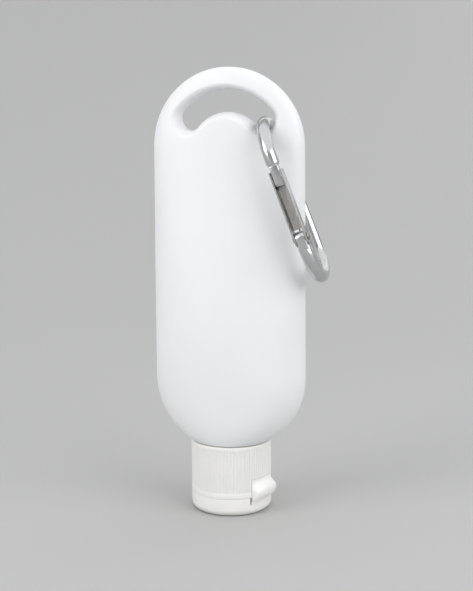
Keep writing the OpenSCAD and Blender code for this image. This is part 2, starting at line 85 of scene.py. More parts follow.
def joinPieces(name, pieces):
    bm = bmesh.new()
    for piece in pieces:
        bm.from_mesh(piece.data)
    mesh = bpy.data.meshes.new(name)
    bm.to_mesh(mesh)
    bm.free()
    for piece in pieces:
        bpy.data.objects.remove(piece)
    joined = bpy.data.objects.new(name, mesh)
    bpy.context.scene.collection.objects.link(joined)
    return joined


def applyModifiers(piece):
    bpy.context.view_layer.update()
    graph = bpy.context.evaluated_depsgraph_get()
    mesh = bpy.data.meshes.new_from_object(piece.evaluated_get(graph))
    piece.modifiers.clear()
    piece.data = mesh


def dress(piece, material, body, slot, *nodes):
    piece.data.materials.clear()
    piece.data.materials.append(material)
    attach(piece, body)
    if nodes:
        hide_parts(*nodes)


def spin(profile, steps, loop=False):
    # a profile of (radius, height) turned about Z; radius 0 at an end makes one pole
    points, rows, faces = [], [], []
    for r, z in profile:
        if r == 0:
            rows.append([len(points)] * steps)
            points.append((0, 0, z))
        else:
            rows.append([len(points) + k for k in range(steps)])
            points += [(r * math.cos(2 * math.pi * k / steps), r * math.sin(2 * math.pi * k / steps), z)
                       for k in range(steps)]
    pairs = list(zip(rows, rows[1:])) + ([(rows[-1], rows[0])] if loop else [])
    for low, high in pairs:
        for k in range(steps):
            face = [low[k], low[(k + 1) % steps], high[(k + 1) % steps], high[k]]
            face = [v for i, v in enumerate(face) if v != face[i - 1]]
            if len(face) > 2:
                faces.append(face)
    return points, faces


def arc(cx, cy, r, start, end, steps):
    turns = [math.radians(start + (end - start) * i / steps) for i in range(steps + 1)]
    return [(cx + r * math.cos(a), cy + r * math.sin(a)) for a in turns]


def corner(x, z, r, start, end, steps):
    # rounds the corner of a profile at (x, z), from one angle of the round to the other
    a = math.radians((start + end) / 2)
    return arc(x - math.copysign(r, math.cos(a)), z - math.copysign(r, math.sin(a)), r, start, end, steps)


def turned(points, degrees):
    a = math.radians(degrees)
    return [(x * math.cos(a) - y * math.sin(a), x * math.sin(a) + y * math.cos(a), z) for x, y, z in points]


def strips(count, n):
    # faces that join each row of n points to the next, closed round the section
    return [[n * i + k, n * i + (k + 1) % n, n * (i + 1) + (k + 1) % n, n * (i + 1) + k]
            for i in range(count) for k in range(n)]


def closedStrips(count, n):
    return strips(count, n) + [list(range(n)), [n * count + k for k in range(n)]]


def newTree(name, inputs):
    tree = bpy.data.node_groups.new(name, "GeometryNodeTree")
    tree.interface.new_socket(name="Geometry", in_out="INPUT", socket_type="NodeSocketGeometry")
    for label, kind in inputs:
        tree.interface.new_socket(name=label, in_out="INPUT", socket_type="NodeSocket" + kind)
    tree.interface.new_socket(name="Geometry", in_out="OUTPUT", socket_type="NodeSocketGeometry")
    return tree, tree.nodes.new("NodeGroupInput"), tree.nodes.new("NodeGroupOutput")


def calc(tree, operation, *values):
    node = tree.nodes.new("ShaderNodeMath")
    node.operation = operation
    for socket, value in zip(node.inputs, values):
        if isinstance(value, (int, float)):
            socket.default_value = value
        else:
            tree.links.new(value, socket)
    return node.outputs[0]


def endTree(tree, geometry, materialSocket, out):
    real = tree.nodes.new("GeometryNodeRealizeInstances")
    paint = tree.nodes.new("GeometryNodeSetMaterial")
    tree.links.new(geometry, real.inputs[0])
    tree.links.new(real.outputs[0], paint.inputs["Geometry"])
    tree.links.new(materialSocket, paint.inputs["Material"])
    tree.links.new(paint.outputs[0], out.inputs[0])


def runTree(piece, tree, values):
    modifier = piece.modifiers.new(tree.name, "NODES")
    modifier.node_group = tree
    for item in tree.interface.items_tree:
        if item.in_out == "INPUT" and item.name in values:
            modifier[item.identifier] = values[item.name]
    applyModifiers(piece)


def newMaterial(name, colour, roughness, metallic=0.0):
    material = bpy.data.materials.new(name)
    material.use_nodes = True
    shader = material.node_tree.nodes["Principled BSDF"]
    shader.inputs["Base Color"].default_value = (*colour, 1)
    shader.inputs["Roughness"].default_value = roughness
    shader.inputs["Metallic"].default_value = metallic
    return material, material.node_tree, shader


def objectCoords(tree, scale=(1, 1, 1), turn=(0, 0, 0)):
    coords = tree.nodes.new("ShaderNodeTexCoord")
    mapping = tree.nodes.new("ShaderNodeMapping")
    mapping.inputs["Scale"].default_value = scale
    mapping.inputs["Rotation"].default_value = turn
    tree.links.new(coords.outputs["Object"], mapping.inputs["Vector"])
    return mapping.outputs[0]


def noise(tree, vector, scale, detail=2.0, roughness=0.5):
    node = tree.nodes.new("ShaderNodeTexNoise")
    node.inputs["Scale"].default_value = scale
    node.inputs["Detail"].default_value = detail
    node.inputs["Roughness"].default_value = roughness
    tree.links.new(vector, node.inputs["Vector"])
    return node.outputs["Fac"]


def spread(tree, value, low, high):
    # noise keeps mostly between 0.3 and 0.7, which here covers the whole range
    node = tree.nodes.new("ShaderNodeMapRange")
    node.inputs["From Min"].default_value = 0.3
    node.inputs["From Max"].default_value = 0.7
    node.inputs["To Min"].default_value = low
    node.inputs["To Max"].default_value = high
    tree.links.new(value, node.inputs["Value"])
    return node.outputs[0]


def tint(tree, value, dark, light):
    node = tree.nodes.new("ShaderNodeMix")
    node.data_type = "RGBA"
    node.inputs["A"].default_value = (*dark, 1)
    node.inputs["B"].default_value = (*light, 1)
    tree.links.new(value, node.inputs["Factor"])
    return node.outputs["Result"]


def bump(tree, height, distance, strength, under=None):
    node = tree.nodes.new("ShaderNodeBump")
    node.inputs["Strength"].default_value = strength
    node.inputs["Distance"].default_value = distance * mm
    tree.links.new(height, node.inputs["Height"])
    if under:
        tree.links.new(under, node.inputs["Normal"])
    return node.outputs[0]


def plastic(name, look):
    # moulded plastic: light scatters a little inside it, and the gloss changes slowly over it
    material, tree, shader = newMaterial(name, look["light"], sum(look["rough"]) / 2)
    shader.inputs["Subsurface Weight"].default_value = look["scatter"]
    shader.inputs["Subsurface Radius"].default_value = look["scatterRadius"]
    shader.inputs["Subsurface Scale"].default_value = mm
    vector = objectCoords(tree)
    flow = noise(tree, objectCoords(tree, look["flowStretch"]), look["flowScale"], 3)
    tree.links.new(tint(tree, flow, look["dark"], look["light"]), shader.inputs["Base Color"])
    gloss = noise(tree, vector, look["glossScale"], 2)
    tree.links.new(spread(tree, gloss, *look["rough"]), shader.inputs["Roughness"])
    return material, tree, shader, vector


def blownPlastic():
    # satin polyethylene: a faint moulded grain, a slow haze and the mould's parting line round the edge
    look = {"dark": (0.735, 0.745, 0.768), "light": (0.785, 0.792, 0.806), "rough": (0.34, 0.44),
            "scatter": 0.12, "scatterRadius": (1.2, 1.15, 1.0), "flowScale": 55, "flowStretch": (1, 1, 1),
            "glossScale": 420, "grainScale": 2600, "grainDepth": 0.02, "grainStrength": 0.35,
            "lineWidth": 0.12, "lineDepth": 0.03, "lineStrength": 0.5, "lineBlend": 0.3}
    material, tree, shader, vector = plastic("blownPlastic", look)
    split = tree.nodes.new("ShaderNodeSeparateXYZ")
    tree.links.new(vector, split.inputs[0])
    away = calc(tree, "DIVIDE", calc(tree, "ABSOLUTE", split.outputs["Y"]), look["lineWidth"] * mm)
    line = calc(tree, "SUBTRACT", 1.0, calc(tree, "SMOOTH_MIN", away, 1.0, look["lineBlend"]))
    ridge = bump(tree, line, look["lineDepth"], look["lineStrength"])
    grain = noise(tree, vector, look["grainScale"], 3)
    relief = bump(tree, grain, look["grainDepth"], look["grainStrength"], ridge)
    tree.links.new(relief, shader.inputs["Normal"])
    return material


def capPlastic():
    # glossier and warmer polypropylene with faint upright flow marks
    look = {"dark": (0.785, 0.778, 0.755), "light": (0.815, 0.808, 0.787), "rough": (0.28, 0.36),
            "scatter": 0.1, "scatterRadius": (1.1, 1.0, 0.8), "flowScale": 70, "flowStretch": (1, 1, 3),
            "glossScale": 600, "grainScale": 700, "grainDepth": 0.006, "grainStrength": 0.2}
    material, tree, shader, vector = plastic("capPlastic", look)
    grain = noise(tree, vector, look["grainScale"], 2)
    tree.links.new(bump(tree, grain, look["grainDepth"], look["grainStrength"]), shader.inputs["Normal"])
    return material


def metal(name, look):
    # drawn or brushed metal: fine lines along the piece, with smudges in the gloss and the tone
    material, tree, shader = newMaterial(name, look["colour"], sum(look["rough"]) / 2, 1.0)
    stretch = (look["across"], look["across"], look["along"])
    lines = noise(tree, objectCoords(tree, stretch, hungTurn), 1.0, 4, 0.6)
    smudge = noise(tree, objectCoords(tree), metalMix["smudgeScale"], 3)
    softened = calc(tree, "MULTIPLY", smudge, metalMix["smudge"])
    mixed = calc(tree, "MULTIPLY_ADD", lines, metalMix["lines"], softened)
    tree.links.new(spread(tree, mixed, *look["rough"]), shader.inputs["Roughness"])
    dark = tuple(c * look["shade"] for c in look["colour"])
    tree.links.new(tint(tree, spread(tree, mixed, 0, 1), dark, look["colour"]), shader.inputs["Base Color"])
    tree.links.new(bump(tree, lines, look["depth"], metalMix["bump"]), shader.inputs["Normal"])
    return material


def softWhite(name, look):
    # foam or cream: one noise drives the tone, the gloss and the relief
    material, tree, shader = newMaterial(name, look["light"], sum(look["rough"]) / 2)
    shader.inputs["Subsurface Weight"].default_value = look["scatter"]
    shader.inputs["Subsurface Scale"].default_value = mm
    cells = noise(tree, objectCoords(tree), look["scale"], 4)
    tree.links.new(tint(tree, cells, look["dark"], look["light"]), shader.inputs["Base Color"])
    tree.links.new(spread(tree, cells, *look["rough"]), shader.inputs["Roughness"])
    tree.links.new(bump(tree, cells, look["depth"], look["strength"]), shader.inputs["Normal"])
    return material


# the carabiner's own frame starts at the point where it hangs
hanging = {"point": (11.2, 0, 116.6), "lean": 21.6, "yaw": 6}
hungMatrix = (Matrix.Translation(hanging["point"])
              @ Matrix.Rotation(math.radians(-hanging["lean"]), 4, "Y")
              @ Matrix.Rotation(math.radians(hanging["yaw"]), 4, "Z"))
hungTurn = hungMatrix.to_3x3().transposed().to_euler()


def hung(points):
    return [tuple(hungMatrix @ Vector(p)) for p in points]


whitePlastic = blownPlastic()
warmPlastic = capPlastic()
metalMix = {"lines": 0.6, "smudge": 0.4, "smudgeScale": 260, "bump": 0.4}
rodMetal = metal("rodMetal", {"colour": (0.64, 0.64, 0.65), "rough": (0.1, 0.2), "across": 5000, "along": 500,
                              "depth": 0.004, "shade": 0.86})
gateMetal = metal("gateMetal", {"colour": (0.64, 0.625, 0.615), "rough": (0.14, 0.32), "across": 2600,
                                "along": 160, "depth": 0.01, "shade": 0.6})
pinSteel = metal("pinSteel", {"colour": (0.34, 0.335, 0.33), "rough": (0.22, 0.38), "across": 3000,
                              "along": 3000, "depth": 0.006, "shade": 0.8})
linerFoam = softWhite("linerFoam", {"dark": (0.74, 0.74, 0.72), "light": (0.86, 0.86, 0.84),
                                    "rough": (0.62, 0.78), "scale": 4000, "depth": 0.05, "strength": 0.6,
                                    "scatter": 0})
lotionCream = softWhite("lotionCream", {"dark": (0.83, 0.79, 0.68), "light": (0.88, 0.84, 0.75),
                                        "rough": (0.24, 0.4), "scale": 90, "depth": 0.1, "strength": 0.6,
                                        "scatter": 0.3})
print("materials made")


bottle = {
    "width": 46, "depth": 26.4, "crownDepth": 8.2, "shoulderZ": 21.5, "domeZ": 40.7, "splitZ": 104.7,
    "arcZ": 109.7, "crownZ": 132.7, "shoulderHeight": 19.2, "footWidth": 23.6, "footDepth": 23.4,
    "footRadius": 0.6, "wall": 0.9, "domePowerWidth": 2.1, "domePowerDepth": 5, "taperIn": 1.7,
    "taperOut": 2, "powerFoot": 2, "powerMid": 2.3, "powerTop": 3, "rimWidth": 2, "holeZ": 126.2,
    "humpZ": 119.7, "lobeZ": 117.7, "lobeX": 11.3, "lobeRadius": 3.4, "lobeStart": 10, "webPower": 1.8,
    "edgePower": 1.4, "fine": 3,
}
# steps round a quarter of the body and along each stretch of the hole's edge; lobeLow twice and the hump
# together take as many as the body's front half, so that the web joins point to point
quadSteps, lobeLow, humpSteps = 12 * bottle["fine"], 7 * bottle["fine"], 10 * bottle["fine"]
lobeSide, archSteps, straightSteps = 6 * bottle["fine"], 16 * bottle["fine"], 2 * bottle["fine"]
ringCount, halfCount = 4 * quadSteps, 2 * quadSteps
loopCount = halfCount + 2 * lobeSide + archSteps
rimSteps, webSteps, footSteps, domeSteps, sideSteps = 12, 18, 6, 28, 30


def between(low, high, i, steps):
    return low + (high - low) * i / steps


def domeShare(z, foot, full, power):
    # the shoulder's outline as a share of the full size: it falls to foot / full at the shoulder's face
    fall = max(0.0, (bottle["domeZ"] - z) / bottle["shoulderHeight"])
    return (1 - fall ** power * (1 - (foot / full) ** power)) ** (1 / power)


def sectionPower(z):
    fall = max(0.0, (bottle["domeZ"] - z) / bottle["shoulderHeight"])
    if z < bottle["domeZ"]:
        return bottle["powerMid"] - (bottle["powerMid"] - bottle["powerFoot"]) * fall
    up = min(1.0, (z - bottle["domeZ"]) / (bottle["arcZ"] - bottle["domeZ"]))
    return bottle["powerMid"] + (bottle["powerTop"] - bottle["powerMid"]) * up ** 2


def halfWidth(z, inset):
    share = domeShare(z, bottle["footWidth"], bottle["width"], bottle["domePowerWidth"])
    return bottle["width"] / 2 * share - inset


def sectionTurn(k):
    # angle of point k; the points crowd towards the thin side edges
    q, t = divmod(k / quadSteps, 1)
    eased = t ** bottle["edgePower"] if q % 2 == 0 else 1 - (1 - t) ** bottle["edgePower"]
    return math.radians(90 * (q + eased))


def ringX(z, inset, k):
    c = math.cos(sectionTurn(k))
    return halfWidth(z, inset) * math.copysign(abs(c) ** (2 / sectionPower(z)), c)


def holeLoop():
    # places round the hanger hole, each with its normal away from the hole; the arcs touch each other
    x, z, r, join = bottle["lobeX"], bottle["lobeZ"], bottle["lobeRadius"], bottle["lobeStart"]
    archTop, humpTop = bottle["holeZ"] - z - r, bottle["humpZ"] + r - z
    archC, humpC = (archTop ** 2 - x ** 2) / (2 * archTop), (humpTop ** 2 - x ** 2) / (2 * humpTop)
    archEnd, humpEnd = math.degrees(math.atan2(-archC, x)), math.degrees(math.atan2(-humpC, x))
    archR, humpR = bottle["holeZ"] - z - archC, bottle["humpZ"] - z - humpC
    # centre, radius, first and last angle, steps, and 1 where the hole is inside the arc
    stretches = [(x, z, r, -join, humpEnd - 180, lobeLow, 1),
                 (0, z + humpC, humpR, humpEnd, 180 - humpEnd, humpSteps, -1),
                 (-x, z, r, -humpEnd, join - 180, lobeLow, 1),
                 (-x, z, r, 180 + join, 180 - archEnd, lobeSide, 1),
                 (0, z + archC, archR, 180 - archEnd, archEnd, archSteps, 1),
                 (x, z, r, archEnd, -join, lobeSide, 1)]
    loop = []
    for cx, cz, radius, start, end, steps, side in stretches:
        for i in range(steps):
            a = math.radians(between(start, end, i, steps))
            c, s = math.cos(a), math.sin(a)
            loop.append((cx + radius * c, cz + radius * s, side * c, side * s))
    return loop


def outerEdge(j, inset):
    # the place on the outline that faces place j of the hole: across the body, up a side, over the crown
    if j <= halfCount:
        return ringX(bottle["splitZ"], inset, j), bottle["splitZ"]
    m, r = j - halfCount, bottle["width"] / 2 - inset
    rest = loopCount - halfCount - m
    if m < straightSteps:
        return -r, between(bottle["splitZ"], bottle["arcZ"], m, straightSteps)
    if rest < straightSteps:
        return r, between(bottle["splitZ"], bottle["arcZ"], rest, straightSteps)
    a = math.pi * (1 - (m - straightSteps) / (loopCount - halfCount - 2 * straightSteps))
    return r * math.cos(a), bottle["arcZ"] + r * math.sin(a)


def flatSkin(inset):
    # the front view as points (x, z) with a side: -1 on the front, 1 on the back, 0 on the edge
    points, sides, faces = [], [], []

    def add(x, z, side):
        points.append((x, 0, z))
        sides.append(side)
        return len(points) - 1

    low, r = bottle["shoulderZ"] + inset + bottle["footRadius"], bottle["footRadius"]
    levels = []
    for i in range(footSteps):
        a = between(0, math.pi / 2, i, footSteps)
        levels.append((low - r * math.cos(a), inset + r * (1 - math.sin(a))))
    dome, split = bottle["domeZ"], bottle["splitZ"]
    levels += [(between(low, dome, i, domeSteps), inset) for i in range(domeSteps)]
    levels += [(between(dome, split, i, sideSteps), inset) for i in range(sideSteps + 1)]
    insets, rings = [], []
    ringSides = [0 if k % halfCount == 0 else (-1 if k < halfCount else 1) for k in range(ringCount)]
    for z, drawn in levels:
        rings.append([add(ringX(z, drawn, k), z, side) for k, side in enumerate(ringSides)])
        insets += [drawn] * ringCount

    def bridge(before, after):
        n = len(before)
        faces.extend([before[k], before[(k + 1) % n], after[(k + 1) % n], after[k]] for k in range(n))

    for lowRing, highRing in zip(rings, rings[1:]):
        bridge(lowRing, highRing)

    hole, top = holeLoop(), rings[-1]
    edge = [top[j] if j <= halfCount else add(*outerEdge(j, inset), 0) for j in range(loopCount)]
    backEdge = [top[-j % ringCount] if j <= halfCount else edge[j] for j in range(loopCount)]
    throat = [add(hx + inset * nx, hz + inset * nz, 0) for hx, hz, nx, nz in hole]
    for side, last in ((-1, edge), (1, backEdge)):
        before = throat
        for layer in range(1, rimSteps + webSteps):
            a = math.pi / 2 * min(1, layer / rimSteps)
            out = inset + bottle["rimWidth"] * (1 - math.cos(a))
            web = 1 - (1 - max(0, layer - rimSteps) / webSteps) ** bottle["webPower"]
            row = []
            for j, (hx, hz, nx, nz) in enumerate(hole):
                ex, ez = outerEdge(j, inset)
                x, z = hx + out * nx, hz + out * nz
                row.append(add(x + (ex - x) * web, z + (ez - z) * web, side * math.sin(a)))
            bridge(before, row)
            before = row
        bridge(before, last)
    insets += [inset] * (len(points) - len(insets))
    return points, sides, insets, faces


inflateLengths = {
    "Body width": "width", "Body depth": "depth", "Crown depth": "crownDepth", "Foot width": "footWidth",
    "Foot depth": "footDepth", "Dome Z": "domeZ", "Arc Z": "arcZ", "Crown Z": "crownZ",
    "Shoulder height": "shoulderHeight",
}
inflatePowers = {
    "Width power": "domePowerWidth", "Depth power": "domePowerDepth", "Taper in": "taperIn",
    "Taper out": "taperOut", "Foot power": "powerFoot", "Mid power": "powerMid", "Top power": "powerTop",
}


def inflateTree():
    # half depth at (x, z): a rounded section whose width, depth and exponent follow the height
    labels = [*inflateLengths, *inflatePowers]
    sockets = [(label, "Float") for label in labels] + [("Material", "Material")]
    tree, given, out = newTree("inflateBottle", sockets)
    v = {label: given.outputs[label] for label in labels}

    def do(operation, *values):
        return calc(tree, operation, *values)

    def named(label):
        node = tree.nodes.new("GeometryNodeInputNamedAttribute")
        node.data_type = "FLOAT"
        node.inputs["Name"].default_value = label
        return node.outputs["Attribute"]

    place = tree.nodes.new("GeometryNodeInputPosition")
    split = tree.nodes.new("ShaderNodeSeparateXYZ")
    tree.links.new(place.outputs[0], split.inputs[0])
    x, z = split.outputs["X"], split.outputs["Z"]
    inset, side = named("inset"), named("side")
    fall = do("MAXIMUM", 0.0, do("DIVIDE", do("SUBTRACT", v["Dome Z"], z), v["Shoulder height"]))

    def share(foot, full, power):
        drop = do("SUBTRACT", 1.0, do("POWER", do("DIVIDE", foot, full), power))
        return do("POWER", do("SUBTRACT", 1.0, do("MULTIPLY", do("POWER", fall, power), drop)),
                  do("DIVIDE", 1.0, power))

    halfW = do("SUBTRACT", do("MULTIPLY", do("DIVIDE", v["Body width"], 2.0),
                              share(v["Foot width"], v["Body width"], v["Width power"])), inset)
    rise = do("DIVIDE", do("SUBTRACT", z, v["Dome Z"]), do("SUBTRACT", v["Crown Z"], v["Dome Z"]))
    rise = do("MINIMUM", 1.0, do("MAXIMUM", 0.0, rise))
    taper = do("POWER", do("SUBTRACT", 1.0, do("POWER", rise, v["Taper in"])), v["Taper out"])
    sideD = do("DIVIDE", do("MULTIPLY_ADD", do("SUBTRACT", v["Body depth"], v["Crown depth"]), taper,
                            v["Crown depth"]), 2.0)
    deepShare = share(v["Foot depth"], v["Body depth"], v["Depth power"])
    halfD = do("SUBTRACT", do("MULTIPLY", sideD, deepShare), inset)
    up = do("DIVIDE", do("SUBTRACT", z, v["Dome Z"]), do("SUBTRACT", v["Arc Z"], v["Dome Z"]))
    up = do("MINIMUM", 1.0, do("MAXIMUM", 0.0, up))
    power = do("SUBTRACT", do("MULTIPLY_ADD", do("SUBTRACT", v["Top power"], v["Mid power"]),
                              do("MULTIPLY", up, up), v["Mid power"]),
               do("MULTIPLY", do("SUBTRACT", v["Mid power"], v["Foot power"]), fall))
    # past the arc's centre the outline is a circle, so the reach runs from that centre
    over = do("MAXIMUM", 0.0, do("SUBTRACT", z, v["Arc Z"]))
    reach = do("SQRT", do("ADD", do("MULTIPLY", x, x), do("MULTIPLY", over, over)))
    part = do("POWER", do("MINIMUM", 1.0, do("DIVIDE", reach, halfW)), power)
    depth = do("MULTIPLY", halfD, do("POWER", do("SUBTRACT", 1.0, part), do("DIVIDE", 1.0, power)))
    join = tree.nodes.new("ShaderNodeCombineXYZ")
    tree.links.new(do("MULTIPLY", side, depth), join.inputs["Y"])
    move = tree.nodes.new("GeometryNodeSetPosition")
    tree.links.new(given.outputs["Geometry"], move.inputs["Geometry"])
    tree.links.new(join.outputs[0], move.inputs["Offset"])
    endTree(tree, move.outputs[0], given.outputs["Material"], out)
    return tree


inflate = inflateTree()
inflateValues = {label: bottle[key] * mm for label, key in inflateLengths.items()}
inflateValues |= {label: float(bottle[key]) for label, key in inflatePowers.items()}
inflateValues["Material"] = whitePlastic


def inflatedSkin(name, inset):
    points, sides, insets, faces = flatSkin(inset)
    skin = addPiece(name, points, faces)
    for label, values, unit in (("side", sides, 1), ("inset", insets, mm)):
        layer = skin.data.attributes.new(label, "FLOAT", "POINT")
        layer.data.foreach_set("value", [value * unit for value in values])
    runTree(skin, inflate, inflateValues)
    ring = [tuple(c / mm for c in skin.data.vertices[k].co) for k in range(ringCount)]
    return skin, ring


neck = {"radius": 8.8, "bore": 7.2, "rimZ": 7.6, "beadRadius": 9.7, "beadLow": 17.7, "beadHigh": 18.9,
        "fillet": 0.5, "beadFillet": 0.15, "round": 0.3, "boreRound": 0.2, "threadRadius": 9.85,
        "threadInset": 1.9, "pitch": 3.175, "turns": 1.25, "rootWidth": 1.7, "crestWidth": 0.9,
        "crestDepth": 0.15, "crestSlope": 0.1, "bite": 0.25, "fade": 0.12, "fadeStart": 0.1,
        "room": 0.25, "stepsPerTurn": 96}


def neckStrip(outerRing, innerRing):
    # rings from the shoulder face down the outside of the neck, over its rim and up its bore
    top, r, e = bottle["shoulderZ"], neck["radius"], neck["round"]
    profile = corner(r, top, neck["fillet"], 90, 180, 4)
    profile += corner(r, neck["beadHigh"], neck["beadFillet"], 180, 270, 2)
    profile += corner(neck["beadRadius"], neck["beadHigh"], e, 90, 0, 4)
    profile += corner(neck["beadRadius"], neck["beadLow"], e, 0, -90, 4)
    profile += [(r, neck["beadLow"])]
    profile += corner(r, neck["rimZ"], e, 0, -90, 4)
    profile += corner(neck["bore"], neck["rimZ"], neck["boreRound"], 270, 180, 3)
    profile += [(neck["bore"], top + bottle["wall"])]
    points = list(outerRing)
    for radius, z in profile:
        points += [(radius * math.cos(sectionTurn(k)), -radius * math.sin(sectionTurn(k)), z)
                   for k in range(ringCount)]
    points += innerRing
    return addPiece("neckStrip", points, strips(len(profile) + 1, ringCount))


def threadRidge(name, rootRadius, tipRadius, startZ):
    # a helical ridge that fades at both ends, sunk a little into the wall that carries it
    steps = round(neck["stepsPerTurn"] * neck["turns"])
    out = 1 if tipRadius > rootRadius else -1
    sunk, foot = rootRadius - out * neck["bite"], neck["rootWidth"] / 2
    slope, points = neck["crestSlope"], []
    for i in range(steps + 1):
        a = 2 * math.pi * i / neck["stepsPerTurn"]
        grow = min(1.0, min(i, steps - i) / steps / neck["fade"] + neck["fadeStart"])
        grow = grow * grow * (3 - 2 * grow)
        r, z = rootRadius + (tipRadius - rootRadius) * grow, startZ + neck["pitch"] * a / (2 * math.pi)
        crest = foot - (neck["rootWidth"] - neck["crestWidth"]) / 2 * grow
        half = [(sunk, foot), (rootRadius, foot), (r - out * neck["crestDepth"], crest + slope),
                (r, crest - slope)]
        section = [(q, -up) for q, up in half] + half[::-1]
        points += [(q * math.cos(a), q * math.sin(a), z + up) for q, up in section]
    ridge = addPiece(name, points, closedStrips(steps, len(section)))
    cleanMesh(ridge)
    return ridge


outerSkin, outerRing = inflatedSkin("outerSkin", 0)
innerSkin, innerRing = inflatedSkin("innerSkin", bottle["wall"])
shell = joinPieces("shell", [outerSkin, innerSkin, neckStrip(outerRing, innerRing)])
cleanMesh(shell, mergeGap=0.002)
threadZ = neck["rimZ"] + neck["threadInset"]
neckThread = threadRidge("neckThread", neck["radius"], neck["threadRadius"], threadZ)
bottleShell = joinPieces("bottle_shell", [shell, neckThread])
smoothMesh(bottleShell, angle=40)
dress(bottleShell, whitePlastic, "bottle", "body_plastic", "bottle_body")
print("bottle made", len(bottleShell.data.polygons), "faces")


cap = {"radius": 12.15, "rib": 0.11, "deckZ": 5.6, "deckTop": 7.0, "bandTop": 7.2, "upperBand": 20.2,
       "top": 21.4, "skirt": 10.1, "plug": 7.1, "plugIn": 6.3, "plugTop": 9.0, "orifice": 1.5, "spoutZ": 2.6,
       "spoutTip": 2.7, "spoutFoot": 3.35, "collar": 10.6, "collarIn": 9.8, "collarZ": 4.4, "flat": 11.45,
       "turn": -15, "steps": 240, "round": 0.2, "lip": 0.05, "lipRound": 0.08, "bandRound": 0.1,
       "spoutRound": 0.4, "spoutFillet": 0.25, "orificeEdge": 0.15, "recess": 11.25, "recessOut": 14,
       "recessLow": 5, "recessTop": 11.04, "recessSpan": 55.02, "recessSteps": 43}


def turnAndFlatten(points, low, high):
    # the hinge side is cut flat between two heights; then the piece turns to the tab's direction
    flat = cap["flat"]
    made = [(-flat, y, z) if low <= z <= high and x < -flat and math.hypot(x, y) > flat else (x, y, z)
            for x, y, z in points]
    return turned(made, cap["turn"])


def capProfile():
    r, e, deck, fillet = cap["radius"], cap["round"], cap["deckZ"], cap["spoutFillet"]
    core = r - cap["rib"]
    outer = corner(r, deck - cap["lip"], cap["lipRound"], -90, 0, 4)
    outer += corner(r, cap["bandTop"], cap["bandRound"], 0, 90, 3)
    outer += [(core, cap["bandTop"] + hair), (core, cap["upperBand"])]
    outer += corner(r, cap["upperBand"], cap["bandRound"], -90, 0, 3)
    outer += corner(r, cap["top"], e, 0, 90, 5)
    inner = [(cap["skirt"] + e, cap["top"]), (cap["skirt"], cap["top"] - e), (cap["skirt"], cap["deckTop"]),
             (cap["plug"], cap["deckTop"])]
    inner += corner(cap["plug"], cap["plugTop"], e, 0, 90, 3)
    inner += corner(cap["plugIn"], cap["plugTop"], e, 90, 180, 3)
    inner += [(cap["plugIn"], cap["deckTop"]), (cap["orifice"] + cap["orificeEdge"], cap["deckTop"]),
              (cap["orifice"], cap["deckTop"] - cap["orificeEdge"])]
    spout = corner(cap["orifice"], cap["spoutZ"], e, 180, 270, 3)
    spout += corner(cap["spoutTip"], cap["spoutZ"], cap["spoutRound"], -90, -10, 4)
    spout += [(cap["spoutFoot"], deck - fillet), (cap["spoutFoot"] + fillet, deck)]
    spout += [(cap["collarIn"] - e, deck), (cap["collarIn"], deck - e)]
    spout += corner(cap["collarIn"], cap["collarZ"], e, 180, 270, 3)
    spout += corner(cap["collar"], cap["collarZ"], e, -90, 0, 3)
    spout += [(cap["collar"], deck)]
    return outer + inner + spout


def makeRecess():
    # the block cut out of the cap's side, in which the thumb tab lies; with an odd number of steps
    # none of its columns falls on the one where the skirt's mesh begins
    low, high, near, far = cap["recessLow"], cap["recessTop"], cap["recess"], cap["recessOut"]
    half, steps, points = math.radians(cap["recessSpan"] / 2), cap["recessSteps"], []
    for i in range(steps + 1):
        a = half * (2 * i / steps - 1)
        points += [(r * math.cos(a), r * math.sin(a), z)
                   for r, z in ((near, low), (far, low), (far, high), (near, high))]
    recess = addPiece("recess", turned(points, cap["turn"]), closedStrips(steps, 4))
    cleanMesh(recess)
    return recess


def cutAway(piece, tools):
    for tool in tools:
        cut = piece.modifiers.new("cut", "BOOLEAN")
        cut.operation, cut.solver, cut.object = "DIFFERENCE", "EXACT", tool
    applyModifiers(piece)
    for tool in tools:
        bpy.data.objects.remove(tool)


points, faces = spin(capProfile(), cap["steps"], loop=True)
points = turnAndFlatten(points, cap["deckZ"] - 2 * cap["lip"], cap["bandTop"] + hair / 2)
skirt = addPiece("skirt", points, faces)
cleanMesh(skirt)
cutAway(skirt, [makeRecess()])
threadTip = neck["radius"] + neck["room"]
capThread = threadRidge("capThread", cap["skirt"], threadTip, threadZ + neck["pitch"] / 2)
capBase = joinPieces("cap_skirt", [skirt, capThread])
smoothMesh(capBase, angle=38)
dress(capBase, warmPlastic, "cap", "cap_plastic", "cap_base")


def ribTree():
    # one rib, repeated round the Z axis
    sockets = [("Ribs", "Int"), ("First angle", "Float"), ("Material", "Material")]
    tree, given, out = newTree("capRibs", sockets)
    spots = tree.nodes.new("GeometryNodePoints")
    tree.links.new(given.outputs["Ribs"], spots.inputs["Count"])
    index = tree.nodes.new("GeometryNodeInputIndex")
    step = calc(tree, "DIVIDE", 2 * math.pi, given.outputs["Ribs"])
    angle = calc(tree, "MULTIPLY_ADD", index.outputs[0], step, given.outputs["First angle"])
    turn = tree.nodes.new("ShaderNodeCombineXYZ")
    tree.links.new(angle, turn.inputs["Z"])
    copies = tree.nodes.new("GeometryNodeInstanceOnPoints")
    tree.links.new(spots.outputs[0], copies.inputs["Points"])
    tree.links.new(given.outputs["Geometry"], copies.inputs["Instance"])
    tree.links.new(turn.outputs[0], copies.inputs["Rotation"])
    endTree(tree, copies.outputs[0], given.outputs["Material"], out)
    return tree


rib = {"count": 90, "width": 0.52, "sink": 0.06, "tip": 12.12, "foot": 0.07, "edge": 0.05, "overlap": 0.05,
       "shares": (1, 0.92, 0.62, 0.3)}


